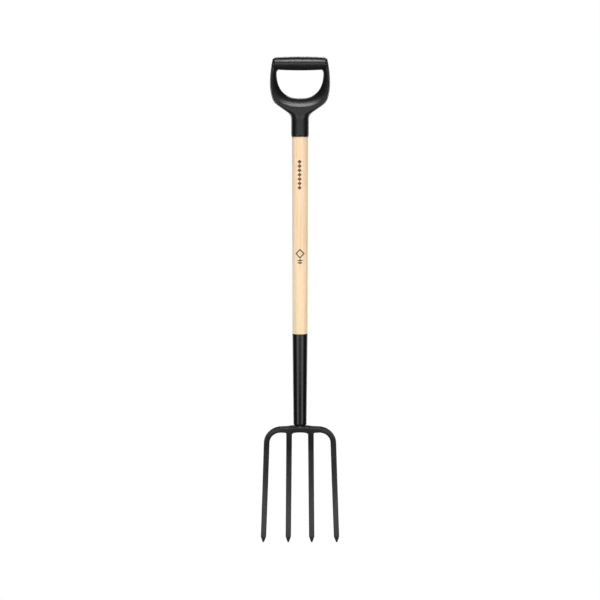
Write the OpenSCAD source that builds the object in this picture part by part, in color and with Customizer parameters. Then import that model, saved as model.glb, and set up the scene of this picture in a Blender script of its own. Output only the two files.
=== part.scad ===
// Digging fork with an ash shaft, a moulded D-handle and a four-tine welded steel head.
// Millimetres. The origin is on the shaft's axis, in the plane of the tine points.
// +Z runs up the shaft to the handle, -Y is the front, +X is the right-hand side from the front.

/* [Overall] */
// Height from the tine points to the middle of the grip bar's axis
grip_z = 1153; // [1140:0.2:1170]
// Width of the head over the outer tine points, centre to centre
tip_spread = 179.6; // [160:0.2:200]

/* [Shaft] */
// Diameter of the shaft where it enters the steel socket
shaft_low_d = 36; // [34:0.5:38]
// Diameter of the shaft where it meets the handle
shaft_top_d = 37.6; // [36:0.2:39]
// Height of the socket's rim, where the bare wood starts
rim_z = 512.8; // [480:0.2:540]
// Height of the handle's lower end, where the bare wood stops
ferrule_z = 982; // [960:1:1010]

/* [Socket] */
// Outside diameter of the socket at its rim
socket_d = 36.6; // [34:0.1:38]
// Fall in the socket's outside diameter for each millimetre down
socket_taper = 0.0208; // [0.015:0.0001:0.025]
// Wall of the socket tube
socket_wall = 2; // [1.5:0.1:2.5]
// Height of the socket's lower end
socket_base_z = 287.6; // [287.2:0.2:292]

/* [Handle] */
// Outside diameter of the ferrule
ferrule_d = 41.5; // [40:0.1:44]
// Greatest width of the hand opening
opening_w = 109.6; // [100:0.2:112]
// Height of the opening's rounded lower part
opening_h = 61.1; // [56:0.1:66]
// Diameter of the grip at its middle
grip_d = 32.5; // [28:0.1:34]
// Length of the grip between its end caps
grip_len = 120; // [112:0.5:122]

/* [Head] */
// Height of the crossbar's middle
cross_z = 276.9; // [274:0.1:278]
// Height of the crossbar's section
cross_h = 12.8; // [11:0.1:14]
// Front-to-back depth of the crossbar right under the socket
boss_depth = 29; // [26:0.5:34]
// Front-to-back depth of the outer bends and of the tines below their roots
bar_depth = 11; // [9:0.5:12]
// Radius of the outer bends, on the bar's middle line
bend_r = 35; // [28:0.5:38]
// Width of a tine below the bend
tine_w = 13.9; // [11:0.1:15]
// Distance between the inner tines at their roots
inner_spread = 52.8; // [48:0.2:60]
// Radius of the tines' forward curve, seen from the side
curve_r = 687; // [600:1:900]
// Angle at which the tines leave the crossbar, backwards
back_angle = 8; // [4:0.5:10]
// Width of an inner tine at its root
inner_w = 13.9; // [11:0.1:15]
// Length of the tapered points
point_len = 13.5; // [10:0.5:24]

/* [Hidden] */
$fn = 64;

outer_lean = 88;                        // turn of each outer bend, so the outer tines spread a little
tine_end_w = 13.1;                      // width of a tine above its point
tine_end_d = 9;                         // depth of a tine above its point
point_w = 3.3;                          // width left on the point
point_d = 2.6;                          // depth left on the point
corner_r = 2;                           // corner radius of the bar's section
boss_rise = 1.9;                        // rise of the crossbar's middle under the socket
root_fade = 48;                         // length over which an inner tine slims below its root
fillet_in = 5.2;                        // root fillets towards the middle gap
fillet_out = 2.2;                       // root fillets towards the outer gaps
fillet_depth = boss_depth - 10;         // front-to-back depth of the root fillets
boss_top = cross_z + cross_h / 2 + boss_rise;

tenon_d = 34;                           // turned-down upper end of the shaft
tenon_top = ferrule_z + 52;
core_d = 18;                            // core bar inside the grip
cap_r = 13.6;                           // end caps of the yoke, beside the grip
shoulder_h = 41.3;                      // height of the ferrule's parallel part
opening_z = grip_z - 19.2;              // height at which the opening reaches its full width
opening_n = 2.5;                        // squareness of the opening's lower half
opening_low = opening_z - opening_h;    // lowest point of the opening
flank = 23;                             // the web rounds back by sqrt(flank x distance from the opening)
barrel_r = 900;                         // radius of the grip's barrel shape

screw_head_r = 4.2;
screw_head_h = 2.2;
screw_shank_r = 2;
screw_len = 24;
handle_screw_z = ferrule_z + 24;
socket_screw_z = rim_z - 28;

neck_r = 13;                            // lower end of the socket
neck_h = 6.5;                           // height over which the socket rounds in
shaft_bottom = socket_base_z + 44;

// Outside radius of the socket at height z
function socket_r(z) = socket_d / 2 - (rim_z - z) * socket_taper / 2;

// Front-to-back place of the head's middle line at height z: it starts backwards and curves forwards
function head_y(z) =
    let (s = (cross_z - z) / curve_r - sin(back_angle))
    curve_r * (sqrt(1 - s * s) - cos(back_angle));

function mix(a, b, t) = a + (b - a) * t;

// Smooth step from 1 down to 0 while x goes from a to b
function fade(x, a, b) = let (t = min(1, max(0, (x - a) / (b - a)))) 1 - t * t * (3 - 2 * t);

// Front-to-back depth of the crossbar at x, deepest under the socket
function cross_depth(x) = mix(bar_depth, boss_depth, fade(abs(x), 14, 84));

// Points along a chain of moves [radius, turn]: a turn to the left is positive, and radius 0
// means a straight run whose length is given in place of the turn.
function along(moves, p, a, i = 0) =
    i == len(moves) ? [p] :
    let (
        r = moves[i][0],
        t = moves[i][1],
        side = sign(t),
        c = p + r * side * [-sin(a), cos(a)],
        n = r == 0 ? 1 : max(2, ceil(abs(t) / 6)),
        steps = [for (k = [0:n - 1]) c - r * side * [-sin(a + t * k / n), cos(a + t * k / n)]],
        q = r == 0 ? p + t * [cos(a), sin(a)] : c - r * side * [-sin(a + t), cos(a + t)]
    )
    concat(r == 0 ? [p] : steps, along(moves, q, r == 0 ? a : a + t, i + 1));

// ---------- handle ----------

// Right-hand outline of the yoke, from the ferrule's side up to the top corner
function yoke_side() = along(
    [[19.5, -55], [0, 30.7], [30, 38], [114, 16.7], [250, 12.8], [6, 70]],
    [ferrule_d / 2, ferrule_z + shoulder_h], 90
);

// Half of the hand opening's rounded lower part, from its lowest point to its right-hand side
function opening_side() = [
    for (k = [0:18])
        let (a = 90 * k / 18)
        [opening_w / 2 * pow(sin(a), 2 / opening_n), opening_z - opening_h * pow(cos(a), 2 / opening_n)]
];

module yoke_outline() {
    side = yoke_side();
    difference() {
        union() {
            polygon(concat(side, [for (k = [len(side) - 1:-1:0]) [-side[k].x, side[k].y]]));
            translate([-grip_len / 2 - 1, opening_z]) square([grip_len + 2, grip_z + cap_r - opening_z]);
        }
        polygon(concat(
            opening_side(),
            [[opening_w / 2, grip_z + 40], [-opening_w / 2, grip_z + 40]],
            [for (p = [for (k = [18:-1:1]) opening_side()[k]]) [-p.x, p.y]]
        ));
    }
}

// Side view of the web and arms: slim where they leave the ferrule, then deep, and round at the caps
module yoke_depth() {
    side = [
        [7, ferrule_z + shoulder_h - 3], [9, ferrule_z + shoulder_h + 4], [16.5, ferrule_z + shoulder_h + 24],
        [17, opening_low], [15, grip_z - 30], [cap_r, grip_z]
    ];
    polygon(concat(side, [for (k = [len(side) - 1:-1:0]) [-side[k].x, side[k].y]]));
    translate([0, grip_z]) circle(r = cap_r);
}

// The solid barrel of the grip, about the X axis
module grip_barrel() {
    profile = [for (k = [-8:8]) let (u = grip_len / 2 * k / 8)
        [grip_d / 2 - barrel_r + sqrt(pow(barrel_r, 2) - pow(u, 2)), u]];
    translate([0, 0, grip_z]) rotate([0, 90, 0]) rotate_extrude()
        polygon(concat([[0, -grip_len / 2]], profile, [[0, grip_len / 2]]));
}

// The bar that runs from cap to cap inside the grip
module core_bar() {
    translate([0, 0, grip_z]) rotate([0, 90, 0]) cylinder(d = core_d, h = grip_len + 2, center = true);
}

// A countersunk screw driven forwards from the back, its head at the depth y
module screw_space(y, z, over) {
    translate([0, y, z]) rotate([90, 0, 0]) {
        translate([0, 0, -over]) cylinder(r = screw_head_r, h = over);
        cylinder(r1 = screw_head_r, r2 = screw_shank_r, h = screw_head_h);
        translate([0, 0, screw_head_h]) cylinder(r = screw_shank_r, h = screw_len - screw_head_h - 3);
        translate([0, 0, screw_len - 3]) cylinder(r1 = screw_shank_r, r2 = 0.3, h = 3);
    }
}

module screw(y, z) {
    difference() {
        screw_space(y, z, 0);
        for (a = [0, 90]) translate([0, y, z]) rotate([0, a, 0]) translate([-2.3, -1.4, -0.45]) cube([4.6, 2, 0.9]);
    }
}

handle_screw_y = ferrule_d / 2 - 0.5;
socket_screw_y = socket_r(socket_screw_z) - 0.5;

module handle_yoke() {
    color("#2b2c2e") difference() {
        union() {
            intersection() {
                rotate([90, 0, 0]) linear_extrude(60, center = true) yoke_outline();
                rotate([90, 0, 90]) linear_extrude(200, center = true) yoke_depth();
            }
            // ferrule, with a softened lower lip, carried on up the web and rounding back under the opening
            rotate_extrude() polygon(concat(
                [
                    [0, ferrule_z], [ferrule_d / 2 - 1.5, ferrule_z], [ferrule_d / 2 - 0.6, ferrule_z + 1.6],
                    [ferrule_d / 2, ferrule_z + 5]
                ],
                [for (k = [6:-1:1]) let (r = ferrule_d / 2 * k / 6) [r, opening_low - 0.5 - r * r / flank]],
                [[0, opening_low - 0.5]]
            ));
            core_bar();
        }
        difference() {
            grip_barrel();
            core_bar();
        }
        translate([0, 0, ferrule_z - 1]) cylinder(d = tenon_d, h = tenon_top - ferrule_z + 1);
        screw_space(handle_screw_y, handle_screw_z, 4);
    }
}

module grip_sleeve() {
    color("#343537") difference() {
        grip_barrel();
        core_bar();
    }
}

module handle_screw() {
    color("#8d8f92") screw(handle_screw_y, handle_screw_z);
}

// ---------- shaft ----------

module ash_shaft() {
    tenon_low_r = socket_r(rim_z) - socket_wall;
    color("#ecd0a6") difference() {
        rotate_extrude() polygon([
            [0, shaft_bottom], [socket_r(shaft_bottom) - socket_wall, shaft_bottom], [tenon_low_r, rim_z],
            [shaft_low_d / 2, rim_z], [shaft_top_d / 2, ferrule_z], [tenon_d / 2, ferrule_z],
            [tenon_d / 2, tenon_top], [0, tenon_top]
        ]);
        screw_space(handle_screw_y, handle_screw_z, 1);
        screw_space(socket_screw_y, socket_screw_z, 1);
    }
}

// ---------- socket ----------

// Half section of the socket tube, grown outwards by g
module socket_section(g = 0) {
    shoulder_z = socket_base_z + neck_h;
    shoulder_r = socket_r(shoulder_z);
    outer = [for (k = [0:6]) let (a = 90 * k / 6)
        [neck_r + (shoulder_r - neck_r) * sin(a) + g, shoulder_z - neck_h * cos(a)]];
    inner = [for (k = [6:-1:0]) let (a = 90 * k / 6)
        [neck_r + (shoulder_r - neck_r) * sin(a) - socket_wall, shoulder_z - neck_h * cos(a)]];
    polygon(concat(outer, [[socket_r(rim_z) + g, rim_z], [socket_r(rim_z) - socket_wall, rim_z]], inner));
}

// Slot at the back of the rolled tube, filled by the seam weld
module seam_slot(z0, z1) {
    translate([-1.2, 0, z0]) cube([2.4, 40, z1 - z0]);
}

seam_low = socket_base_z + neck_h + 3;
seam_top = socket_screw_z - 12;

module socket_tube() {
    color("#26272a") difference() {
        rotate_extrude() socket_section();
        seam_slot(seam_low, seam_top);
        screw_space(socket_screw_y, socket_screw_z, 4);
    }
}

module socket_seam_weld() {
    color("#2a2b2e") intersection() {
        rotate_extrude() socket_section(0.5);
        seam_slot(seam_low, seam_top);
    }
}

module socket_screw() {
    color("#8d8f92") screw(socket_screw_y, socket_screw_z);
}

// Bead between the socket's lower end and the crossbar's boss
module socket_base_weld() {
    color("#2a2b2e") rotate_extrude() difference() {
        polygon([
            [neck_r - socket_wall, boss_top], [neck_r + 1.4, boss_top], [neck_r + 1.4, boss_top + 0.6],
            [neck_r + 1.8, socket_base_z + 1.2], [neck_r, socket_base_z + 1.2], [neck_r, socket_base_z],
            [neck_r - socket_wall, socket_base_z]
        ]);
        socket_section();
    }
}

// ---------- head ----------

// Section of the bar: a rectangle u by v with softened corners
function bar_ring(u, v, r) = [
    for (q = [0:3]) for (k = [0:2])
        let (a = q * 90 + k * 45, su = (q == 0 || q == 3) ? 1 : -1, sv = q < 2 ? 1 : -1)
        [su * (u / 2 - r) + r * cos(a), sv * (v / 2 - r) + r * sin(a)]
];

// A bar through stations [x, z, outward x, outward z, width, depth, shift outwards, share], the share
// being how much of the crossbar's extra depth it takes on there
module bar(stations) {
    n = 12;
    rings = [
        for (s = stations)
            for (p = bar_ring(s[4], s[5], min(corner_r, 0.28 * min(s[4], s[5]))))
                let (
                    x = s[0] + s[2] * (p.x + s[6]),
                    z = s[1] + s[3] * (p.x + s[6]),
                    extra = s[7] * (cross_depth(x) - bar_depth) / 2
                )
                [x, head_y(z) + p.y + sign(p.y) * extra, z]
    ];
    last = (len(stations) - 1) * n;
    polyhedron(
        points = rings,
        faces = concat(
            [[for (k = [0:n - 1]) k]],
            [[for (k = [n - 1:-1:0]) last + k]],
            [for (i = [0:len(stations) - 2]) for (k = [0:n - 1])
                [i * n + k, (i + 1) * n + k, (i + 1) * n + (k + 1) % n, i * n + (k + 1) % n]]
        ),
        convexity = 8
    );
}

// Depth of a tine at t, from 0 at its root to 1 where the point starts
function tine_depth(t) = mix(bar_depth, tine_end_d, t);

// Stations of the point, below the place [x, z], going down along the direction d
function point_stations(p, d, n) = [
    for (t = [0.5, 1])
        let (q = p + d * point_len * t)
        [q.x, q.y, n.x, n.y, mix(tine_end_w, point_w, t), mix(tine_end_d, point_d, t), 0, 0]
];

// The right half of the bow, from the middle of the crossbar to the right-hand point
function bow_half() =
    let (
        down = [cos(outer_lean), -sin(outer_lean)],
        out = [sin(outer_lean), cos(outer_lean)],
        leg_z = cross_z - bend_r + bend_r * cos(outer_lean),
        leg_len = leg_z / sin(outer_lean) - point_len,
        end_x = tip_spread / 2,
        leg_x = end_x - (leg_len + point_len) * cos(outer_lean),
        bend_x = leg_x - bend_r * sin(outer_lean)
    )
    concat(
        [for (k = [0:15]) let (x = bend_x * k / 15, rise = boss_rise * fade(x, 15, 32))
            [x, cross_z, 0, 1, cross_h + rise, bar_depth, rise / 2, 1]],
        [for (k = [1:12]) let (a = outer_lean * k / 12, z = cross_z - bend_r + bend_r * cos(a))
            [bend_x + bend_r * sin(a), z, sin(a), cos(a), mix(cross_h, tine_w, k / 12), bar_depth, 0, 1]],
        [for (k = [1:14]) let (t = k / 14, q = [leg_x, leg_z] + down * leg_len * t)
            [q.x, q.y, out.x, out.y, mix(tine_w, tine_end_w, t), tine_depth(t), 0, 0]],
        point_stations([leg_x, leg_z] + down * leg_len, down, out)
    );

module tine_bow() {
    half = bow_half();
    color("#303134") bar(concat(
        [for (k = [len(half) - 1:-1:1]) let (s = half[k]) [-s[0], s[1], -s[2], s[3], s[4], s[5], s[6], s[7]]],
        half
    ));
}

root_z = cross_z - cross_h / 2;

// An inner tine, welded under the crossbar on the side given by s (-1 left, 1 right)
module inner_tine(s) {
    lean = 0.5 * s;
    down = [sin(lean), -cos(lean)];
    leg_len = root_z / cos(lean) - point_len;
    top = [s * inner_spread / 2, root_z];
    bar(concat(
        [for (k = [0:20]) let (t = pow(k / 20, 1.3), q = top + down * leg_len * t)
            [q.x, q.y, 1, 0, mix(inner_w, tine_end_w, t), tine_depth(t), 0, fade(root_z - q.y, 0, root_fade)]],
        point_stations(top + down * leg_len, down, [1, 0])
    ));
}

module inner_tine_left() {
    color("#303134") inner_tine(-1);
}

module inner_tine_right() {
    color("#303134") inner_tine(1);
}

// Fillet of radius r in the corner between the crossbar and the face of a tine at x, on its side s
module root_fillet(x, r, s) {
    translate([x, head_y(root_z - r / 2), root_z]) mirror([s < 0 ? 1 : 0, 0, 0]) rotate([90, 0, 0])
        linear_extrude(fillet_depth, center = true) difference() {
            translate([0, -r]) square(r);
            translate([r, -r]) circle(r = r);
        }
}

module tine_root_welds() {
    half = inner_w / 2;
    color("#2a2b2e") for (s = [-1, 1]) {
        root_fillet(s * (inner_spread / 2 - half), fillet_in, -s);
        root_fillet(s * (inner_spread / 2 + half), fillet_out, s);
    }
}

handle_yoke();
grip_sleeve();
handle_screw();
ash_shaft();
socket_tube();
socket_seam_weld();
socket_screw();
socket_base_weld();
tine_bow();
inner_tine_left();
inner_tine_right();
tine_root_welds();
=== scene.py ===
"""Digging fork: its looks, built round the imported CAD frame. Metres, Z up, front towards -Y."""
import math

import bmesh
import bpy
import numpy as np
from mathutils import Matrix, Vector


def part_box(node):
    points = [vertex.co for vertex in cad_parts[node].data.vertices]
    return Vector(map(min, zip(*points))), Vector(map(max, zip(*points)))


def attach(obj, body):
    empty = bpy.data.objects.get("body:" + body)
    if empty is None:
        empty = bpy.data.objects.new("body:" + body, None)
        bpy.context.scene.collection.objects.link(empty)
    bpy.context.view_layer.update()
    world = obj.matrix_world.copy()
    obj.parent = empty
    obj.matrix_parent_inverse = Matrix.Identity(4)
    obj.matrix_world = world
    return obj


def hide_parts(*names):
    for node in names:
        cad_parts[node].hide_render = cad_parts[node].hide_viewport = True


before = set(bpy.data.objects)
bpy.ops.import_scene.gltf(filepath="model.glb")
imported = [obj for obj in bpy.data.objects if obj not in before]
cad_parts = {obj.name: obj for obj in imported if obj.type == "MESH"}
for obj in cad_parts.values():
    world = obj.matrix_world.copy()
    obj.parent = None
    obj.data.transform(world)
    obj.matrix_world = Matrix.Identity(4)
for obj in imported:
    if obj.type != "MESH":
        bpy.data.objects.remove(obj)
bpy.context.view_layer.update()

MM = 0.001
TAU = 2 * math.pi


# ---------- small helpers ----------

def mix(a, b, t):
    return a + (b - a) * t


def smooth(x, a, b):
    """0 at a, 1 at b, with an even start and end."""
    t = np.clip((np.asarray(x, float) - a) / (b - a), 0, 1)
    return t * t * (3 - 2 * t)


def fade(x, a, b):
    """1 at a, 0 at b, with an even start and end."""
    return 1 - smooth(x, a, b)


def smooth_max(a, b, k):
    """The larger of two fields, rounded over a width of k."""
    h = np.clip(0.5 + 0.5 * (a - b) / k, 0, 1)
    return b + (a - b) * h + k * h * (1 - h)


def round_union(a, b, radius):
    """The smaller of two fields, joined by a circular fillet of the radius."""
    hollow = np.hypot(np.clip(radius - a, 0, None), np.clip(radius - b, 0, None))
    return np.maximum(radius, np.minimum(a, b)) - hollow


def round_both(a, b, radius):
    """The larger of two fields, their meeting edge rounded to the radius."""
    inner = np.hypot(np.clip(a + radius, 0, None), np.clip(b + radius, 0, None))
    return inner + np.minimum(np.maximum(a, b) + radius, 0) - radius


def along(moves, x, z, heading):
    """Points along a chain of moves (radius, turn in degrees); radius 0 is a straight run of that length."""
    pts = [(x, z)]
    for radius, turn in moves:
        if radius == 0:
            x, z = x + turn * math.cos(heading), z + turn * math.sin(heading)
            pts.append((x, z))
            continue
        side = math.copysign(1, turn)
        cx, cz = x - radius * side * math.sin(heading), z + radius * side * math.cos(heading)
        steps = max(4, round(abs(turn) / 2))
        for k in range(1, steps + 1):
            a = heading + math.radians(turn) * k / steps
            pts.append((cx + radius * side * math.sin(a), cz - radius * side * math.cos(a)))
        heading += math.radians(turn)
        x, z = pts[-1]
    return np.array(pts)


# ---------- meshes ----------

def piece(name, verts, faces, material, node):
    """A smooth-shaded mesh object that rides on the fork and stands for one CAD node."""
    mesh = bpy.data.meshes.new(name)
    mesh.from_pydata([tuple(v) for v in verts], [], [tuple(f) for f in faces])
    mesh.validate()
    bm = bmesh.new()
    bm.from_mesh(mesh)
    bmesh.ops.remove_doubles(bm, verts=bm.verts, dist=1e-7)
    bare_edges = [e for e in bm.edges if not e.link_faces]
    bmesh.ops.delete(bm, geom=bare_edges, context="EDGES")
    bmesh.ops.recalc_face_normals(bm, faces=bm.faces)
    bm.to_mesh(mesh)
    bm.free()
    mesh.shade_smooth()
    mesh.materials.append(material)
    obj = bpy.data.objects.new(name, mesh)
    bpy.context.scene.collection.objects.link(obj)
    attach(obj, "root")
    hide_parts(node)


def loft(rings):
    """Vertices and faces of a capped skin over closed rings of equal length."""
    n = len(rings[0])
    verts = [tuple(p) for ring in rings for p in ring]
    faces = [
        (i * n + k, i * n + (k + 1) % n, (i + 1) * n + (k + 1) % n, (i + 1) * n + k)
        for i in range(len(rings) - 1) for k in range(n)
    ]
    faces += [tuple(range(n)), tuple((len(rings) - 1) * n + k for k in range(n))]
    return verts, faces


def lathe(profile, segments):
    """Vertices and faces of a closed profile [(radius, z), ...] turned about the Z axis."""
    n = len(profile)
    verts = [
        (r * math.cos(TAU * s / segments), r * math.sin(TAU * s / segments), z)
        for s in range(segments) for r, z in profile
    ]
    faces = [
        (s * n + i, ((s + 1) % segments) * n + i, ((s + 1) % segments) * n + (i + 1) % n, s * n + (i + 1) % n)
        for s in range(segments) for i in range(n)
    ]
    return verts, faces


def round_corner(profile, index, radius):
    """The profile with one of its corners rounded to the radius."""
    steps = 6
    a, b, c = (Vector(profile[(index + d) % len(profile)]) for d in (-1, 0, 1))
    u, v = (a - b).normalized(), (c - b).normalized()
    half = u.angle(v) / 2
    reach = radius / math.tan(half)
    centre = b + (u + v).normalized() * (radius / math.sin(half))
    start, end = b + u * reach - centre, b + v * reach - centre
    first = math.atan2(start.y, start.x)
    turn = math.remainder(math.atan2(end.y, end.x) - first, TAU)
    angles = [first + turn * k / steps for k in range(steps + 1)]
    arc = [centre + radius * Vector((math.cos(a), math.sin(a))) for a in angles]
    return [tuple(p) for p in (*profile[:index], *arc, *profile[index + 1:])]


def onto_surface(field, verts, step):
    """The points moved onto the surface where the field is zero, by Newton's method with short steps."""
    e = step * 0.05
    for _ in range(4):
        x, y, z = verts.T
        value = field(x, y, z)
        slope = np.stack([
            (field(x + e, y, z) - field(x - e, y, z)) / (2 * e),
            (field(x, y + e, z) - field(x, y - e, z)) / (2 * e),
            (field(x, y, z + e) - field(x, y, z - e)) / (2 * e),
        ], 1)
        move = slope * (value / np.maximum((slope ** 2).sum(1), 1e-6))[:, None]
        size = np.linalg.norm(move, axis=1, keepdims=True)
        verts = verts - move * np.minimum(1, 0.4 * step / np.maximum(size, 1e-12))
    return verts


def polygonise(field, lo, hi, step):
    """Quads over the surface where field(x, y, z) is zero: one vertex in each grid cell that it crosses."""
    axes = [np.arange(a, b + step, step) for a, b in zip(lo, hi)]
    grid = np.meshgrid(*axes, indexing="ij")
    f = field(*grid)
    cells = tuple(n - 1 for n in f.shape)
    corner = {(i, j, k): f[i:i + cells[0], j:j + cells[1], k:k + cells[2]]
              for i in (0, 1) for j in (0, 1) for k in (0, 1)}
    # each crossed cell gets a vertex at the mean of the places where the surface crosses its edges
    total, count = np.zeros(cells + (3,)), np.zeros(cells)
    for axis in range(3):
        for c in corner:
            if c[axis]:
                continue
            d = tuple(1 if m == axis else c[m] for m in range(3))
            a, b = corner[c], corner[d]
            cross = (a < 0) != (b < 0)
            t = np.where(cross, a / np.where(cross, a - b, 1), 0)
            for m in range(3):
                total[..., m] += np.where(cross, c[m] + (t if m == axis else 0), 0)
            count += cross
    used = count > 0
    index = np.full(cells, -1)
    index[used] = np.arange(used.sum())
    where = np.argwhere(used)
    verts = (where + total[used] / count[used][:, None]) * step + np.array([a[0] for a in axes])
    # each crossed grid edge gets a face between the four cells round it
    faces = []
    for axis in range(3):
        u, v = (axis + 1) % 3, (axis + 2) % 3
        here = [slice(1, -1)] * 3
        here[axis] = slice(0, -1)
        there = list(here)
        there[axis] = slice(1, None)
        a, b = f[tuple(here)] < 0, f[tuple(there)] < 0
        at = np.argwhere(a != b) + np.array([0 if m == axis else 1 for m in range(3)])
        flip = a[a != b]

        def cell(du, dv):
            """Vertex number of the cell that lies du and dv back from the crossed grid edge."""
            q = at.copy()
            q[:, u] -= du
            q[:, v] -= dv
            return index[q[:, 0], q[:, 1], q[:, 2]]

        quad = np.stack([cell(1, 1), cell(0, 1), cell(0, 0), cell(1, 0)], 1)
        quad[~flip] = quad[~flip][:, ::-1]
        faces.append(quad)
    return onto_surface(field, verts, step), np.concatenate(faces)


# ---------- materials ----------

class Shader:
    """A short way to write a material's nodes."""

    def __init__(self, name):
        self.material = bpy.data.materials.new(name)
        self.material.use_nodes = True
        self.tree = self.material.node_tree
        self.bsdf = self.tree.nodes["Principled BSDF"]

    def node(self, kind, **values):
        """A new node; each value is a property, a socket's number, or a link into the socket."""
        n = self.tree.nodes.new(kind)
        for key, value in values.items():
            if hasattr(n, key):
                setattr(n, key, value)
            else:
                socket = n.inputs[key.replace("_", " ")]
                if isinstance(value, bpy.types.NodeSocket):
                    self.tree.links.new(value, socket)
                else:
                    socket.default_value = value
        return n

    def link(self, out, into):
        self.tree.links.new(out, into)

    def math(self, operation, a, b=0.0):
        """The result of a sum on links or plain numbers."""
        n = self.tree.nodes.new("ShaderNodeMath")
        n.operation = operation
        for socket, value in zip(n.inputs, (a, b)):
            if isinstance(value, bpy.types.NodeSocket):
                self.link(value, socket)
            else:
                socket.default_value = value
        return n.outputs[0]

    def place(self, scale=(1, 1, 1), source=None):
        """The point on the object, in metres, stretched by the scale."""
        where = source or self.node("ShaderNodeTexCoord").outputs["Object"]
        n = self.node("ShaderNodeVectorMath", operation="MULTIPLY")
        self.link(where, n.inputs[0])
        n.inputs[1].default_value = scale
        return n.outputs[0]

    def noise(self, scale, detail, stretch=(1, 1, 1), rough=0.5):
        """Cloudy noise from 0 to 1, its grain finer along an axis with a larger stretch."""
        n = self.node("ShaderNodeTexNoise", Scale=scale, Detail=detail, Roughness=rough)
        self.link(self.place(stretch), n.inputs["Vector"])
        return n.outputs["Fac"]

    def ramp(self, value, *stops):
        """A colour for each value, from stops of (value, colour)."""
        n = self.node("ShaderNodeValToRGB")
        while len(n.color_ramp.elements) < len(stops):
            n.color_ramp.elements.new(0.5)
        for e, (at, colour) in zip(n.color_ramp.elements, stops):
            e.position = at
            e.color = (*colour, 1)
        self.link(value, n.inputs[0])
        return n.outputs[0]

    def blend(self, a, b, factor, mode="MIX"):
        """Colour a mixed with colour b; either may be a link or a plain colour."""
        n = self.node("ShaderNodeMix", data_type="RGBA", blend_type=mode)
        sockets = [s for s in n.inputs if s.enabled]
        for socket, value in zip(sockets, (factor, a, b)):
            if isinstance(value, bpy.types.NodeSocket):
                self.link(value, socket)
            elif isinstance(value, (int, float)):
                socket.default_value = value
            else:
                socket.default_value = (*value, 1)
        return [s for s in n.outputs if s.enabled][0]

    def bump(self, height, distance, strength, normal=None):
        """A normal roughened by a height, on top of another normal if one is given."""
        n = self.node("ShaderNodeBump", Distance=distance, Strength=strength)
        self.link(height, n.inputs["Height"])
        if normal:
            self.link(normal, n.inputs["Normal"])
        return n.outputs[0]

    def set(self, **values):
        """Sets or links the main shader's sockets and gives the finished material."""
        for key, value in values.items():
            socket = self.bsdf.inputs[key.replace("_", " ")]
            if isinstance(value, bpy.types.NodeSocket):
                self.link(value, socket)
            else:
                socket.default_value = value
        return self.material


def grey(v):
    return (v, v, v)


def moulded_black(name, level, roughness, grain):
    """Black moulded plastic with a fine spark-eroded texture and faint handling marks."""
    s = Shader(name)
    cloud = s.noise(22.0, 4.0)
    fine = s.noise(grain, 2.0)
    dark, light = (level * 0.88, level * 0.9, level * 0.94), (level * 1.1, level * 1.11, level * 1.14)
    tone = s.ramp(cloud, (0.3, dark), (0.7, light))
    rub = s.noise(140.0, 5.0, (1, 1, 0.35))
    rough = s.math("ADD", s.math("MULTIPLY", s.math("SUBTRACT", rub, 0.5), 0.07), roughness)
    normal = s.bump(fine, 0.000015, 0.3)
    return s.set(Base_Color=tone, Roughness=rough, Normal=normal, Specular_IOR_Level=0.5)


def coated_steel(name, level, roughness):
    """Black baked enamel over steel: slight orange peel, a few thin and dusty places."""
    s = Shader(name)
    cloud = s.noise(30.0, 5.0, (1, 1, 0.4))
    dark, light = (level * 0.85, level * 0.86, level * 0.88), (level * 1.18, level * 1.18, level * 1.17)
    tone = s.ramp(cloud, (0.28, dark), (0.72, light))
    peel = s.noise(900.0, 2.0)
    pits = s.noise(3200.0, 2.0)
    rough = s.math("ADD", s.math("MULTIPLY", s.math("SUBTRACT", cloud, 0.5), 0.22), roughness)
    normal = s.bump(pits, 0.00001, 0.25, s.bump(peel, 0.00003, 0.4))
    return s.set(Base_Color=tone, Roughness=rough, Normal=normal, Specular_IOR_Level=0.5)


def lozenges(s, across, up, centre, pitch, count, half_w, half_h):
    """1 inside a column of plain lozenges on a flat pattern."""
    start = centre - pitch * count / 2
    cell = s.math("DIVIDE", s.math("SUBTRACT", up, start), pitch)
    from_middle = s.math("ABSOLUTE", s.math("SUBTRACT", s.math("FRACT", cell), 0.5))
    height = s.math("MULTIPLY", from_middle, pitch / half_h)
    size = s.math("ADD", s.math("DIVIDE", s.math("ABSOLUTE", across), half_w), height)
    in_column = s.math("MULTIPLY", s.math("GREATER_THAN", cell, 0.0), s.math("LESS_THAN", cell, float(count)))
    return s.math("MULTIPLY", s.math("LESS_THAN", size, 1.0), in_column)


def shaft_marks(s, where):
    """Plain ornaments on the shaft's front: a column of lozenges, and an open one over two small ones."""
    axes = s.node("ShaderNodeSeparateXYZ")
    s.link(where, axes.inputs[0])
    across, depth, up = axes.outputs
    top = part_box("handle_yoke")[0].z
    column_z, open_z, small_z = top - 88.5 * MM, top - 275 * MM, top - 294 * MM
    off_axis = s.math("ADD", across, 1 * MM)
    column = lozenges(s, off_axis, up, column_z, 10.2 * MM, 7, 5.2 * MM, 5.1 * MM)
    outer = lozenges(s, across, up, open_z, 26 * MM, 1, 11.2 * MM, 12.2 * MM)
    inner = lozenges(s, across, up, open_z, 26 * MM, 1, 7.2 * MM, 7.9 * MM)
    small = lozenges(s, across, up, small_z, 5.8 * MM, 2, 7.5 * MM, 2.7 * MM)
    ink = s.math("ADD", s.math("ADD", column, s.math("SUBTRACT", outer, inner)), small)
    return s.math("MULTIPLY", ink, s.math("LESS_THAN", depth, 0.0))


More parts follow.
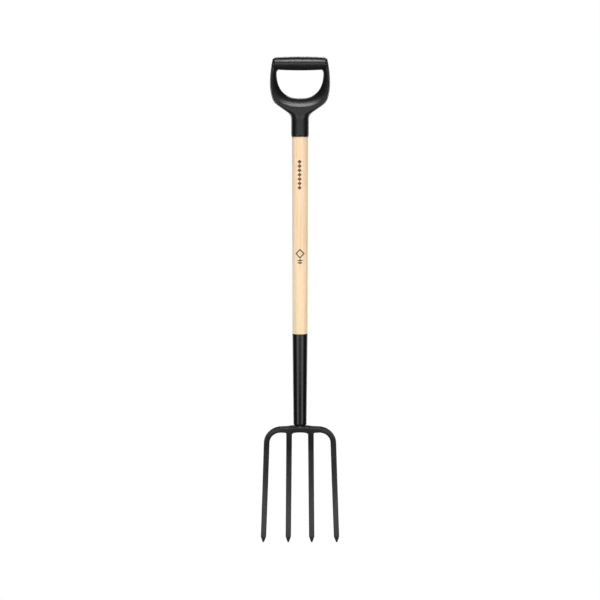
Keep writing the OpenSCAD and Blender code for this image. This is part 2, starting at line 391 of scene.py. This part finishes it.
def wandering(s, where):
    """The point on the shaft, moved a little this way and that, so that the grain isn't ruled straight."""
    wander = s.node("ShaderNodeTexNoise", Scale=1.0, Detail=2.0)
    s.link(s.place((14, 14, 2.2), where), wander.inputs["Vector"])
    shift = s.node("ShaderNodeVectorMath", operation="SCALE")
    s.link(wander.outputs["Color"], shift.inputs[0])
    shift.inputs["Scale"].default_value = 12 * MM
    moved = s.node("ShaderNodeVectorMath", operation="ADD")
    s.link(where, moved.inputs[0])
    s.link(shift.outputs[0], moved.inputs[1])
    split = s.node("ShaderNodeSeparateXYZ")
    s.link(moved.outputs[0], split.inputs[0])
    return split.outputs


def early_wood(s, across, depth):
    """1 in the porous early wood of each growth ring, the tree's heart lying behind the shaft."""
    heart_x, heart_y, ring_width = 11 * MM, 62 * MM, 3.4 * MM
    dx, dy = s.math("ADD", across, heart_x), s.math("ADD", depth, heart_y)
    radius = s.math("SQRT", s.math("ADD", s.math("MULTIPLY", dx, dx), s.math("MULTIPLY", dy, dy)))
    phase = s.math("FRACT", s.math("MULTIPLY", radius, 1 / ring_width))
    return s.ramp(phase, (0.0, grey(0.0)), (0.55, grey(0.25)), (0.86, grey(1.0)), (1.0, grey(0.0)))


def ash_wood():
    """Turned ash under satin lacquer: long straight growth bands, open pores in the early wood, and painted
    shade that darkens it towards the top.
    """
    s = Shader("ash_wood")
    where = s.node("ShaderNodeTexCoord").outputs["Object"]
    across, depth, up = wandering(s, where)
    early = early_wood(s, across, depth)
    streak = s.noise(1.0, 6.0, (420, 420, 7), 0.62)
    pale = s.ramp(streak, (0.30, (0.76, 0.565, 0.385)), (0.70, (0.87, 0.68, 0.49)))
    tan = s.ramp(streak, (0.30, (0.62, 0.43, 0.26)), (0.70, (0.77, 0.57, 0.37)))
    colour = s.blend(pale, tan, s.math("MULTIPLY", early, 0.55))

    broad = s.noise(1.0, 3.0, (45, 45, 2.5))
    brown_bands = s.ramp(broad, (0.35, (0.93, 0.90, 0.86)), (0.65, grey(1.0)))
    patches = s.noise(1.0, 2.0, (16, 16, 5.5))
    yellow = s.ramp(patches, (0.40, (0.925, 0.95, 0.84)), (0.60, (0.995, 0.99, 0.97)))
    # painted shade: the wood's colour is multiplied darker towards the top of the shaft, where the box above
    # lights it most
    height = s.math("SUBTRACT", up, 0.2)
    painted_shade_above = s.ramp(height, (0.35, (0.96, 1.0, 0.99)), (0.62, (0.92, 0.90, 0.905)))
    for tint in (brown_bands, yellow, painted_shade_above):
        colour = s.blend(colour, tint, 1.0, "MULTIPLY")

    pores = s.ramp(s.noise(1.0, 3.0, (2600, 2600, 95), 0.55), (0.60, grey(0.0)), (0.68, grey(1.0)))
    pores = s.math("MULTIPLY", pores, s.math("ADD", s.math("MULTIPLY", early, 0.8), 0.15))
    colour = s.blend(colour, (0.36, 0.21, 0.11), s.math("MULTIPLY", pores, 0.55))
    worn = s.ramp(s.noise(3800.0, 3.0), (0.34, grey(0.8)), (0.46, grey(1.0)))
    ink = s.math("MULTIPLY", shaft_marks(s, where), worn)
    colour = s.blend(colour, (0.030, 0.017, 0.009), s.math("MULTIPLY", ink, 0.93))
    rough = s.math("ADD", s.math("MULTIPLY", streak, 0.16), 0.52)
    normal = s.bump(s.math("SUBTRACT", s.math("MULTIPLY", streak, 0.35), pores), 0.00008, 0.5)
    return s.set(Base_Color=colour, Roughness=rough, Normal=normal, Specular_IOR_Level=0.5)


def screw_steel():
    """Zinc-plated steel, brushed by the driver."""
    s = Shader("screw_steel")
    cloud = s.noise(260.0, 4.0)
    tone = s.ramp(cloud, (0.3, (0.36, 0.37, 0.38)), (0.7, (0.55, 0.56, 0.57)))
    rough = s.math("ADD", s.math("MULTIPLY", cloud, 0.2), 0.25)
    normal = s.bump(s.noise(5200.0, 2.0, (1, 1, 0.2)), 0.00001, 0.4)
    return s.set(Base_Color=tone, Metallic=1.0, Roughness=rough, Normal=normal)


plastic = moulded_black("moulded_black", 0.0045, 0.33, 2600.0)
grip_plastic = moulded_black("grip_black", 0.0065, 0.33, 3200.0)
socket_paint = coated_steel("socket_coat", 0.004, 0.21)
head_paint = coated_steel("head_coat", 0.009, 0.35)
wood = ash_wood()
zinc = screw_steel()


# ---------- the D-handle ----------

yoke_lo, yoke_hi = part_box("handle_yoke")
grip_lo, grip_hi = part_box("grip_sleeve")
FERRULE_R = yoke_hi.y
FERRULE_Z = yoke_lo.z
FERRULE_TOP = FERRULE_Z + 41.3 * MM
SCREW_HEAD_R = 4.2 * MM
SCREW_HEAD_H = 2.6 * MM
SCREW_LEN = 24 * MM
SCREW_CORE_R = 1.35 * MM
THREAD_H = 0.45 * MM
THREAD_PITCH = 1.8 * MM
RECESS_DEPTH = 1.4 * MM
RECESS_REACH = 2.25 * MM
RECESS_HALF = 0.42 * MM
HOLE_R = 2.1 * MM
HANDLE_SCREW = (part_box("handle_screw")[1].y, sum(v.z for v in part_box("handle_screw")) / 2)
SOCKET_SCREW = (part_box("socket_screw")[1].y, sum(v.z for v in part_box("socket_screw")) / 2)
GRIP_Z = (grip_lo.z + grip_hi.z) / 2
GRIP_R = (grip_hi.z - grip_lo.z) / 2
GRIP_HALF = grip_hi.x
CAP_R = yoke_hi.z - GRIP_Z
BARREL_R = 900 * MM
OPENING_HALF = 54.8 * MM
OPENING_H = 61.1 * MM
OPENING_Z = GRIP_Z - 19.2 * MM
OPENING_N = 2.5
OPENING_CORNER = 8 * MM
FLANK = 23 * MM
ARM_EDGE = 6.5 * MM
LIP, LIP_H = 1.5 * MM, 5.5 * MM
CORE_R = 9 * MM
TENON_R = 17 * MM
BORE_H = 52.2 * MM
FIT_GAP = 0.1 * MM
COS_45 = 0.707

yoke_side = along(
    [(19.5 * MM, -55), (0, 30.7 * MM), (30 * MM, 38), (114 * MM, 16.7), (250 * MM, 12.8), (6 * MM, 70)],
    FERRULE_R, FERRULE_TOP, math.pi / 2)


def barrel_radius(x):
    """Radius of the grip at x, fullest in the middle."""
    return GRIP_R - BARREL_R + np.sqrt(BARREL_R ** 2 - np.minimum(np.abs(x), GRIP_HALF) ** 2)


def opening_wall(ax, z):
    """Distance outwards from the wall of the D-shaped hand opening."""
    below = np.clip((OPENING_Z - z) / OPENING_H, 0, None)
    reach = ((ax / OPENING_HALF) ** OPENING_N + below ** OPENING_N) ** (1 / OPENING_N)
    wall = (reach - 1) * mix(OPENING_HALF, OPENING_H, np.clip(below, 0, 1))
    u = ax - (OPENING_HALF - OPENING_CORNER)
    v = z - (GRIP_Z - barrel_radius(GRIP_HALF) - OPENING_CORNER)
    return np.where((u > 0) & (v > 0), np.hypot(u, v) - OPENING_CORNER, wall)


def yoke_field(x, y, z):
    """Below zero inside the moulding.

    A ferrule spreads into two arms, their flanks rounded towards the opening. A core runs from arm
    to arm through the grip, whose ends lie in close pockets."""
    ax, ay = np.abs(x), np.abs(y)
    lip = np.clip(1 - (z - FERRULE_Z) / LIP_H, 0, 1)
    half_w = np.interp(z, yoke_side[:, 1], yoke_side[:, 0]) - LIP * lip ** 2
    edge = mix(FERRULE_R, ARM_EDGE, smooth(z, FERRULE_TOP - 2 * MM, FERRULE_TOP + 30 * MM))
    depth = mix(FERRULE_R, CAP_R, smooth(z, GRIP_Z - 104 * MM, GRIP_Z + 16 * MM)) - LIP * lip ** 2
    outer = np.clip((ax - (half_w - edge)) / edge, 0, None)
    body = np.sqrt(outer ** 2 + (y / depth) ** 2) - 1
    body = body * np.minimum(edge, depth) * 0.8
    flank = (y ** 2 / FLANK - opening_wall(ax, z)) / np.sqrt(1 + (2 * y / FLANK) ** 2)
    body = smooth_max(body, flank, 2.5 * MM)
    body = np.maximum(body, FERRULE_Z - z)

    cap = np.where(z > GRIP_Z, np.hypot(y, z - GRIP_Z), ay * smooth(z, GRIP_Z - 20 * MM, GRIP_Z)) - CAP_R
    body = smooth_max(body, cap, 2.5 * MM)
    body = np.maximum(body, ax - half_w)

    around = np.hypot(y, z - GRIP_Z)
    inside = ax - GRIP_HALF - 0.03 * MM
    body = smooth_max(body, -np.maximum(around - barrel_radius(x) - 0.15 * MM, inside), 1.0 * MM)
    body = smooth_max(body, -np.maximum(GRIP_Z - 0.86 * GRIP_R - z, inside), 1.6 * MM)
    blunt = np.maximum(ax - (OPENING_HALF - 3.4 * MM), GRIP_Z - GRIP_R - 2 * MM - z)
    body = smooth_max(body, -blunt, 1.2 * MM)
    core = np.maximum(around - CORE_R + 0.05 * MM, ax - GRIP_HALF - 1 * MM)
    body = np.minimum(body, core)
    bore = np.maximum(np.hypot(x, y) - TENON_R - FIT_GAP, z - (FERRULE_Z + BORE_H))
    body = smooth_max(body, -bore, 0.8 * MM)
    return smooth_max(body, -screw_hole(x, y, z, HANDLE_SCREW), 0.5 * MM)


def screw_hole(x, y, z, screw):
    """Below zero inside the countersunk hole for a screw driven forwards from the back."""
    top, height = screw
    r = np.hypot(x, z - height)
    wide = r - SCREW_HEAD_R - 0.12 * MM
    cone = (wide - np.minimum(y - top, 0)) * COS_45
    hole = np.minimum(r - HOLE_R, np.maximum(cone, wide))
    return np.maximum(np.maximum(hole, -y), wide)


def build_yoke():
    margin = Vector((2, 2, 2)) * MM
    verts, faces = polygonise(yoke_field, yoke_lo - margin, yoke_hi + margin, 0.85 * MM)
    piece("handle_yoke_moulding", verts, faces, plastic, "handle_yoke")


def build_grip():
    steps, corner = 60, 0.9 * MM
    end, bore = GRIP_HALF - 0.02 * MM, CORE_R + 0.05 * MM
    places = [GRIP_HALF * (2 * k / steps - 1) for k in range(steps + 1)]
    outline = [(barrel_radius(x), min(max(x, -end), end)) for x in places]
    profile = [(bore, -end), *outline, (bore, end)]
    profile = round_corner(profile, len(profile) - 2, corner)
    profile = round_corner(profile, 1, corner)
    verts, faces = lathe(profile, 144)
    verts = [(z, x, y + GRIP_Z) for x, y, z in verts]
    piece("grip_barrel", verts, faces, grip_plastic, "grip_sleeve")


# ---------- shaft ----------

shaft_lo, shaft_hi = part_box("ash_shaft")
socket_lo, socket_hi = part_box("socket_tube")
RIM_Z = socket_hi.z
RIM_R = socket_hi.x
SHAFT_LOW_R = 18 * MM
SHAFT_TOP_R = shaft_hi.x
WALL = 2 * MM
TAPER = 0.0104


def socket_radius(z):
    """Outer radius of the tapered socket at height z."""
    return RIM_R - (RIM_Z - z) * TAPER


def build_shaft():
    steps, tenon_r = 90, TENON_R - 0.05 * MM
    low, top = RIM_Z + 0.6 * MM, FERRULE_Z - 0.02 * MM
    profile = [(0.0, shaft_lo.z), (socket_radius(shaft_lo.z) - WALL - FIT_GAP, shaft_lo.z)]
    profile += [(RIM_R - WALL - FIT_GAP, RIM_Z)]
    profile += [(SHAFT_LOW_R - 0.5 * MM, RIM_Z), (SHAFT_LOW_R, low)]
    for k in range(1, steps + 1):
        profile.append((mix(SHAFT_LOW_R, SHAFT_TOP_R, k / steps), mix(low, top, k / steps)))
    profile += [(tenon_r, top), (tenon_r, shaft_hi.z), (0.0, shaft_hi.z)]
    verts, faces = lathe(profile, 96)
    piece("ash_shaft_turned", verts, faces, wood, "ash_shaft")


# ---------- socket ----------

seam_lo, seam_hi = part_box("socket_seam_weld")
NECK_R = 13 * MM
NECK_H = 6.5 * MM
SLOT_HALF = 1.2 * MM
BEAD = 2.4 * MM


def socket_field(x, y, z):
    """Below zero inside the rolled tube's wall."""
    r = np.hypot(x, y)
    shoulder = socket_lo.z + NECK_H
    down = np.clip((shoulder - z) / NECK_H, 0, 1)
    outer = socket_radius(np.maximum(z, shoulder))
    outer = mix(outer, NECK_R, 1 - np.sqrt(1 - down ** 2))
    wall = np.abs(r - outer + WALL / 2) - WALL / 2
    wall = wall * mix(1.0, 0.72, down)
    tube = smooth_max(wall, z - RIM_Z, 0.9 * MM)
    tube = np.maximum(tube, socket_lo.z - z)
    slot = np.maximum(np.maximum(np.abs(x) - SLOT_HALF, -y), np.maximum(seam_lo.z - z, z - seam_hi.z))
    tube = np.maximum(tube, -slot)
    return smooth_max(tube, -screw_hole(x, y, z, SOCKET_SCREW), 0.4 * MM)


def build_socket():
    margin = Vector((1.5, 1.5, 1.5)) * MM
    verts, faces = polygonise(socket_field, socket_lo - margin, socket_hi + margin, 0.8 * MM)
    piece("socket_tube_rolled", verts, faces, socket_paint, "socket_tube")


def build_seam_weld():
    """A bead laid up the seam in small overlapping crescents."""
    pitch, rings_each = 1.9 * MM, 6
    total = rings_each * round((seam_hi.z - seam_lo.z) / pitch)
    rings = []
    for k in range(total + 1):
        end = min(k, total - k) / rings_each
        z = mix(seam_lo.z, seam_hi.z, k / total)
        ripple = (k % rings_each) / rings_each
        rise = (0.22 + 0.26 * math.sqrt(1 - ripple ** 2)) * MM * min(1, 0.4 + 0.4 * end)
        half = (1.75 + 0.2 * math.sin(math.pi * ripple)) * MM * min(1, 0.66 + 0.2 * end)
        r = socket_radius(z)
        top = []
        for j in range(13):
            u = 2 * j / 12 - 1
            sag = 0.8 * pitch * (1 - u * u) * min(1, end)
            y = math.sqrt(r * r - (half * u) ** 2) - 0.12 * MM + rise * (1 - u ** 4)
            top.append((half * u, y, z - sag))
        high, deep, wide = r - 0.5 * MM, r - WALL + 0.05 * MM, SLOT_HALF - 0.1 * MM
        under = [(wide, high, z), (wide, deep, z), (-wide, deep, z), (-wide, high, z)]
        rings.append([(x, y, min(max(w, seam_lo.z), seam_hi.z)) for x, y, w in top + under])
    verts, faces = loft(rings)
    piece("socket_seam_bead", verts, faces, head_paint, "socket_seam_weld")


def screw_field(screw):
    """The field of a screw, given the place of its head along Y and its height."""
    top, height = screw

    def field(x, y, z):
        """Below zero inside a countersunk wood screw with a cross recess, its head towards +Y."""
        u, w = x, z - height
        r = np.hypot(u, w)
        dome = (y - top) + r ** 2 / (60 * MM)
        cone = (r - SCREW_HEAD_R - np.minimum(y - top + 0.35 * MM, 0)) * COS_45
        head = np.maximum(smooth_max(dome, cone, 0.25 * MM), top - SCREW_HEAD_H - y)
        turn = np.arctan2(w, u) / TAU + (top - y) / THREAD_PITCH
        ridge = THREAD_H * (1 - 2 * np.abs(turn - np.floor(turn) - 0.5)) ** 2
        core = SCREW_CORE_R * np.clip((y - (top - SCREW_LEN)) / (4 * MM), 0, 1) ** 0.7
        shank = (r - core - ridge * smooth(y, top - SCREW_LEN + 0.5 * MM, top - SCREW_LEN + 4 * MM)) * 0.7
        neck = np.maximum(r - 1.75 * MM, top - 6 * MM - y)
        body = np.minimum(head, np.maximum(np.minimum(shank, neck), y - top + 1 * MM))
        a, b = np.abs(u + w) * COS_45, np.abs(u - w) * COS_45
        reach = RECESS_REACH + np.minimum(y - top, 0) * 0.9
        cross = np.minimum(np.maximum(a - RECESS_HALF, b - reach), np.maximum(b - RECESS_HALF, a - reach))
        return smooth_max(body, -np.maximum(cross, top - RECESS_DEPTH - y), 0.12 * MM)

    return field


def build_screw(name, node, screw):
    top, height = screw
    lo = Vector((-SCREW_HEAD_R, top - SCREW_LEN, height - SCREW_HEAD_R))
    hi = Vector((SCREW_HEAD_R, top, height + SCREW_HEAD_R))
    margin = Vector((0.4, 0.4, 0.4)) * MM
    verts, faces = polygonise(screw_field(screw), lo - margin, hi + margin, 0.2 * MM)
    piece(name, verts, faces, zinc, node)


# ---------- head ----------

CROSS_Z = 276.9 * MM
CROSS_H = 12.8 * MM
ROOT_Z = CROSS_Z - CROSS_H / 2
BAR_D = 11 * MM
BOSS_D = 29 * MM
BOSS_RISE = 1.9 * MM
ARCH = 1.3 * MM
WEDGE = 0.16
BEND_R = 35 * MM
BEND = math.radians(88)
TINE_W = 13.9 * MM
END_W, END_D = 13.1 * MM, 9 * MM
INNER_W = 13.9 * MM
POINT = 13.5 * MM
CURVE_R = 687 * MM
BACK = math.radians(8)
TIP_X = 89.8 * MM
INNER_X = 26.4 * MM
EDGE_R = 2.5 * MM
SECTION_STEPS = 7
FILLET_IN, FILLET_OUT = 5.2 * MM, 2.2 * MM
SKIN = 0.06 * MM


def head_y(z):
    """Front-to-back place of the head's middle line."""
    s = (CROSS_Z - z) / CURVE_R - math.sin(BACK)
    return CURVE_R * (np.sqrt(1 - s * s) - math.cos(BACK))


def section(w, d, r):
    """A rounded rectangle w by d."""
    pts = []
    for q, (su, sv) in enumerate(((1, 1), (-1, 1), (-1, -1), (1, -1))):
        for k in range(SECTION_STEPS + 1):
            a = math.pi / 2 * (q + k / SECTION_STEPS)
            pts.append((su * (w / 2 - r) + r * math.cos(a), sv * (d / 2 - r) + r * math.sin(a)))
    return pts


def ring(x, z, nx, nz, w, d, lift=0.0, wedge=0.0):
    """A cross-section of a bar at (x, z), w wide along (nx, nz) and d deep.

    The lift moves it along its width, and the wedge makes it deeper on its inner side."""
    r = min(EDGE_R, 0.30 * min(w, d))
    at = [(u + lift, v * (1 - wedge * 2 * u / w)) for u, v in section(w, d, r)]
    return [(x + nx * u, head_y(z + nz * u) + v, z + nz * u) for u, v in at]


def cross_depth(x):
    """Front-to-back depth of the crossbar, deepest under the socket."""
    return mix(BAR_D, BOSS_D, fade(np.abs(x), 14 * MM, 84 * MM))


def cross_rise(x):
    """How far the crossbar swells upwards to meet the socket."""
    return BOSS_RISE * fade(np.abs(x), 15 * MM, 32 * MM)


def cross_arch(x):
    """How far the crossbar's underside arches up between the inner tines."""
    return ARCH * fade(np.abs(x), 4 * MM, 18 * MM)


def root_depth(x, z):
    """Depth of an inner tine at its face: flush with the crossbar at the root, slim below."""
    return mix(BAR_D, cross_depth(x), fade(ROOT_Z - z, 0, 48 * MM))


def point_rings(x, z, dx, dz, nx, nz):
    """The tapered point, its end slightly blunt."""
    rings = []
    for k in range(1, 17):
        t = k / 16
        blunt = 1 if k < 16 else 0.6
        w, d = mix(END_W, 3.3 * MM, t) * blunt, mix(END_D, 2.6 * MM, t) * blunt
        rings.append(ring(x + dx * POINT * t, z + dz * POINT * t, nx, nz, w, d))
    return rings


def build_bow():
    """The crossbar and the two outer tines, bent from one bar."""
    leg_z = CROSS_Z - BEND_R + BEND_R * math.cos(BEND)
    leg = leg_z / math.sin(BEND) - POINT
    leg_x = TIP_X - (leg + POINT) * math.cos(BEND)
    bend_x = leg_x - BEND_R * math.sin(BEND)
    half = []
    for k in range(0, 61):
        x = bend_x * k / 60
        rise, arch = cross_rise(x), cross_arch(x)
        half.append(ring(x, CROSS_Z, 0, 1, CROSS_H + rise - arch, cross_depth(x), (rise + arch) / 2))
    for k in range(1, 37):
        t = k / 36
        nx, nz = math.sin(BEND * t), math.cos(BEND * t)
        x, z = bend_x + BEND_R * nx, CROSS_Z - BEND_R + BEND_R * nz
        wedge = WEDGE * math.sin(math.pi * t)
        half.append(ring(x, z, nx, nz, mix(CROSS_H, TINE_W, t), cross_depth(x), wedge=wedge))
    nx, nz = math.sin(BEND), math.cos(BEND)
    dx, dz = nz, -nx
    for k in range(1, 71):
        t = k / 70
        x, z = leg_x + dx * leg * t, leg_z + dz * leg * t
        half.append(ring(x, z, nx, nz, mix(TINE_W, END_W, t), mix(BAR_D, END_D, t)))
    half += point_rings(leg_x + dx * leg, leg_z + dz * leg, dx, dz, nx, nz)
    left = [[(-x, y, z) for x, y, z in r] for r in half[:0:-1]]
    verts, faces = loft(left + half)
    piece("tine_bow_forged", verts, faces, head_paint, "tine_bow")


def tine_lean(side):
    """Angle by which an inner tine leans outwards."""
    return math.radians(0.5) * side


def build_inner_tine(side, name, node):
    lean = tine_lean(side)
    dx, dz = math.sin(lean), -math.cos(lean)
    leg = ROOT_Z / math.cos(lean) - POINT
    x0 = side * INNER_X
    rings = [ring(x0, ROOT_Z + 2 * MM, 1, 0, INNER_W - 1 * MM, cross_depth(x0) - 1 * MM)]
    for k in range(0, 101):
        t = k / 100
        x, z = x0 + dx * leg * t, ROOT_Z + dz * leg * t
        outline = ring(x, z, 1, 0, mix(INNER_W, END_W, t), mix(BAR_D, END_D, t))
        for i, (px, py, pz) in enumerate(outline):
            deeper = (root_depth(px, pz) - BAR_D) / 2
            outline[i] = (px, py + math.copysign(deeper, py - head_y(pz)), pz)
        rings.append(outline)
    rings += point_rings(x0 + dx * leg, ROOT_Z + dz * leg, dx, dz, 1, 0)
    verts, faces = loft(rings)
    piece(name, verts, faces, head_paint, node)


def root_field(side):
    """Below zero inside the forged root of a tine: crossbar and tine joined by a large and a small fillet."""
    lean = math.tan(tine_lean(side))

    def field(x, y, z):
        below = ROOT_Z + cross_arch(x) - z
        u = side * x - INNER_X - abs(lean) * np.clip(below, 0, None)
        radius = np.where(u < 0, FILLET_IN, FILLET_OUT)
        tine = np.abs(u) - INNER_W / 2
        outline = round_union(tine, below, radius)
        front = np.abs(y - head_y(z)) - root_depth(x, z) / 2
        body = round_both(outline, front, EDGE_R)
        near = fade(tine, radius, radius + 2.5 * MM)
        near = near * smooth(below, -5.3 * MM, -1 * MM) * fade(below, radius, radius + 2.8 * MM)
        body = body + mix(2 * SKIN, -SKIN, near)
        body = np.maximum(body, tine - radius - 3 * MM)
        return np.maximum(body, np.maximum(below - radius - 3 * MM, -5.4 * MM - below))

    return field


def build_root_fillets():
    """The joined roots of the inner tines, with larger fillets on the sides that face the middle gap."""
    verts, faces = np.zeros((0, 3)), np.zeros((0, 4), int)
    for side in (-1, 1):
        ends = sorted((side * (INNER_X - INNER_W / 2 - 11 * MM), side * (INNER_X + INNER_W / 2 + 6.5 * MM)))
        deep = BOSS_D / 2 + 1 * MM
        lo = (ends[0], -deep, ROOT_Z - 11 * MM)
        hi = (ends[1], deep + 1 * MM, ROOT_Z + 6.5 * MM)
        v, f = polygonise(root_field(side), lo, hi, 0.5 * MM)
        faces = np.concatenate((faces, f + len(verts)))
        verts = np.concatenate((verts, v))
    piece("tine_root_fillets", verts, faces, head_paint, "tine_root_welds")


def base_weld_field(x, y, z):
    """Below zero inside the bead that joins the socket's foot to the crossbar, laid in small crescents."""
    r = np.hypot(x, y)
    neck = r - NECK_R - FIT_GAP
    top = CROSS_Z + CROSS_H / 2 + cross_rise(x)
    front = np.abs(y - head_y(z)) - cross_depth(x) / 2
    bar = round_both(z - top, front, EDGE_R)
    bead = round_union(neck, bar, BEAD)
    near = fade(neck, BEAD * 0.8, BEAD * 1.3) * fade(z - top, BEAD * 0.8, BEAD * 1.3)
    near = near * smooth(z - top, -2.3 * MM, -0.9 * MM)
    turn = np.arctan2(y, x) / TAU * 44 + 0.5 * np.sin(np.clip(neck / BEAD, 0, 1) * math.pi)
    step = turn - np.floor(turn)
    ripple = 0.14 * MM * np.sqrt(np.clip(1 - step * step, 0, 1)) * smooth(neck, 0, BEAD * 0.3)
    body = bead + mix(2 * SKIN, -SKIN - ripple, near)
    body = np.maximum(body, np.maximum(neck - BEAD * 1.6, NECK_R - WALL - r))
    return np.maximum(body, np.maximum(top - 2.4 * MM - z, z - socket_lo.z - 2.2 * MM))


def build_base_weld():
    reach = NECK_R + 2.2 * BEAD
    lo, hi = (-reach, -reach, CROSS_Z), (reach, reach, socket_lo.z + 3 * MM)
    verts, faces = polygonise(base_weld_field, lo, hi, 0.45 * MM)
    piece("socket_base_bead", verts, faces, head_paint, "socket_base_weld")


build_yoke()
build_grip()
build_shaft()
build_socket()
build_bow()
build_inner_tine(-1, "inner_tine_left_forged", "inner_tine_left")
build_inner_tine(1, "inner_tine_right_forged", "inner_tine_right")

build_seam_weld()
build_base_weld()
build_root_fillets()
build_screw("handle_screw_countersunk", "handle_screw", HANDLE_SCREW)
build_screw("socket_screw_countersunk", "socket_screw", SOCKET_SCREW)


# ---------- stage ----------

def build_floor():
    """A wide pale disc under the tine points, its rim lost in the white of the room."""
    s = Shader("pale_floor")
    s.set(Base_Color=(0, 0, 0, 1), Roughness=1.0, Specular_IOR_Level=0.0)
    s.bsdf.inputs["Emission Color"].default_value = (1, 1, 1, 1)
    s.bsdf.inputs["Emission Strength"].default_value = 1.0
    bm = bmesh.new()
    bmesh.ops.create_circle(bm, cap_ends=True, segments=128, radius=14)
    mesh = bpy.data.meshes.new("floor")
    bm.to_mesh(mesh)
    bm.free()
    mesh.materials.append(s.material)
    floor = bpy.data.objects.new("floor", mesh)
    floor.location.z = -0.1 * MM
    bpy.context.scene.collection.objects.link(floor)
    floor.visible_glossy = False
    floor.visible_shadow = False


def softbox(name, azimuth, distance, z, width, height, radiance, tilt=0.0):
    """A rectangular light facing the shaft, at an angle from the front, a distance and a height."""
    a, e = math.radians(azimuth), math.radians(tilt)
    out = Vector((math.sin(a), -math.cos(a), 0))
    light = bpy.data.lights.new(name, "AREA")
    light.shape = "RECTANGLE"
    light.size, light.size_y = width, height
    light.energy = radiance * math.pi * width * height
    obj = bpy.data.objects.new(name, light)
    obj.location = out * distance + Vector((0, 0, z))
    obj.rotation_mode = "QUATERNION"
    aim = -out * math.cos(e) - Vector((0, 0, math.sin(e)))
    obj.rotation_quaternion = aim.to_track_quat("-Z", "Y")
    obj.visible_camera = False
    bpy.context.scene.collection.objects.link(obj)
    return obj


def build_lights():
    """Cards in front give the broad reflections, the box above the bright line, and fills lift the tone."""
    softbox("top_front", 0, 1.77, 2.9, 1.15, 0.95, 13.0, 47)
    for side, label in ((-1, "left"), (1, "right")):
        softbox("strip_" + label, side * 37, 2.6, 0.02, 1.3, 1.5, 2.0)
        softbox("wash_" + label, side * 40, 3.1, 1.45, 2.4, 0.9, 0.55)
        softbox("fill_" + label, side * 62, 3.2, 0.6, 1.6, 2.0, 1.25).visible_glossy = False
        softbox("back_" + label, 180 + side * 38, 3.0, 0.6, 1.2, 2.2, 1.6)
    softbox("wash_front", 0, 3.3, 1.4, 1.9, 0.9, 0.3)
    softbox("low_front", 0, 6.0, 0.31, 7.0, 0.98, 3.2)
    softbox("top_back", 180, 1.9, 2.9, 1.4, 0.9, 7.0, 45)
    softbox("fill_back", 180, 3.4, 0.05, 2.6, 1.1, 0.5)
    softbox("fill_front", 0, 3.2, 0.45, 1.6, 2.0, 2.2).visible_glossy = False
    world = bpy.data.worlds.new("room")
    world.use_nodes = True
    tree = world.node_tree
    path = tree.nodes.new("ShaderNodeLightPath")
    blend = tree.nodes.new("ShaderNodeMix")
    blend.data_type = "FLOAT"
    blend.inputs["A"].default_value = 0.02
    blend.inputs["B"].default_value = 1.0
    tree.links.new(path.outputs["Is Camera Ray"], blend.inputs["Factor"])
    tree.links.new(blend.outputs[0], tree.nodes["Background"].inputs["Strength"])
    tree.nodes["Background"].inputs["Color"].default_value = (1, 1, 1, 1)
    bpy.context.scene.world = world


def build_camera():
    """A long lens in front of the fork, above its middle and looking slightly down."""
    data = bpy.data.cameras.new("camera")
    data.lens = 73.0
    data.sensor_width = 36.0
    data.clip_end = 200
    cam = bpy.data.objects.new("camera", data)
    cam.location = (0, -2.9, 0.944)
    aim = Vector((0, 0, 0.594))
    cam.rotation_mode = "QUATERNION"
    cam.rotation_quaternion = (aim - cam.location).to_track_quat("-Z", "Y")
    bpy.context.scene.collection.objects.link(cam)
    bpy.context.scene.camera = cam


build_floor()
build_lights()
build_camera()
bpy.context.scene.view_settings.view_transform = "Standard"
